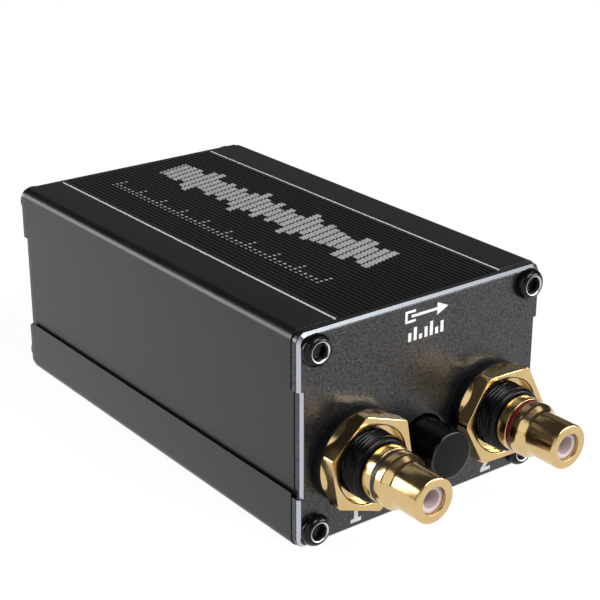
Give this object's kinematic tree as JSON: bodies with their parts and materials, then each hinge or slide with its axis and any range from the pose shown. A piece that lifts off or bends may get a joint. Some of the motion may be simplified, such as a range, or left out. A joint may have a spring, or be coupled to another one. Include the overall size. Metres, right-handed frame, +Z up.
{
  "type": "ground loop isolator",
  "caption": "Small black aluminium box with gold phono sockets on both end panels, a ground lift push button between the front ones and audio transformers inside.",
  "frame": {"origin": "middle of the underside, half way along the box", "axes": "+Z up, +Y from the front panel with the push button towards the rear panel, +X to the right as seen from the front"},
  "size_m": [0.0542, 0.1334, 0.0395],
  "materials": {
    "case": "black anodised extrusion",
    "panel": "fine blasted black anodised, bare bevels",
    "screw": "black oxide, glossy",
    "gold": "polished gold plate",
    "black_plastic": "satin",
    "ring_black": "satin",
    "ring_red": "satin",
    "insulator": "translucent white",
    "tinned": "tinned",
    "board": "green solder mask",
    "core": "laminations",
    "bobbin": "moulded",
    "winding": "enamelled copper wire",
    "switch_plastic": "moulded",
    "spring_steel": "drawn wire"
  },
  "bodies": {
    "case": {"top_shell": "case", "bottom_shell": "case", "front_panel": "panel", "rear_panel": "panel", "front_screws": "screw", "rear_screws": "screw", "front_inner_nuts": "gold", "rear_inner_nuts": "gold", "front_ground_lugs": "tinned", "rear_ground_lugs": "tinned", "signal_wires": "tinned", "ground_wires": "tinned", "circuit_board": "board", "switch_housing": "switch_plastic", "switch_spring": "spring_steel", "switch_pins": "tinned", "left_core": "core", "left_bobbin": "bobbin", "left_winding": "winding", "left_pins": "tinned", "right_core": "core", "right_bobbin": "bobbin", "right_winding": "winding", "right_pins": "tinned", "front_left_shell": "gold", "front_left_ring": "ring_black", "front_left_insulator": "insulator", "front_left_contact": "gold", "front_left_sleeve": "black_plastic", "front_left_washer": "black_plastic", "front_left_nut": "gold", "front_right_shell": "gold", "front_right_ring": "ring_red", "front_right_insulator": "insulator", "front_right_contact": "gold", "front_right_sleeve": "black_plastic", "front_right_washer": "black_plastic", "front_right_nut": "gold", "rear_left_shell": "gold", "rear_left_ring": "ring_black", "rear_left_insulator": "insulator", "rear_left_contact": "gold", "rear_left_sleeve": "black_plastic", "rear_left_washer": "black_plastic", "rear_left_nut": "gold", "rear_right_shell": "gold", "rear_right_ring": "ring_red", "rear_right_insulator": "insulator", "rear_right_contact": "gold", "rear_right_sleeve": "black_plastic", "rear_right_washer": "black_plastic", "rear_right_nut": "gold"},
    "button": {"button_cap": "black_plastic", "switch_plunger": "black_plastic"}
  },
  "joints": [
    {"name": "button_press", "type": "slide", "parent": "case", "child": "button", "axis": [0, 1, 0], "range_m": [0, 0.0025], "stiffness_N_per_m": 300, "springref_m": -0.002, "deforming": ["switch_spring"]}
  ]
}
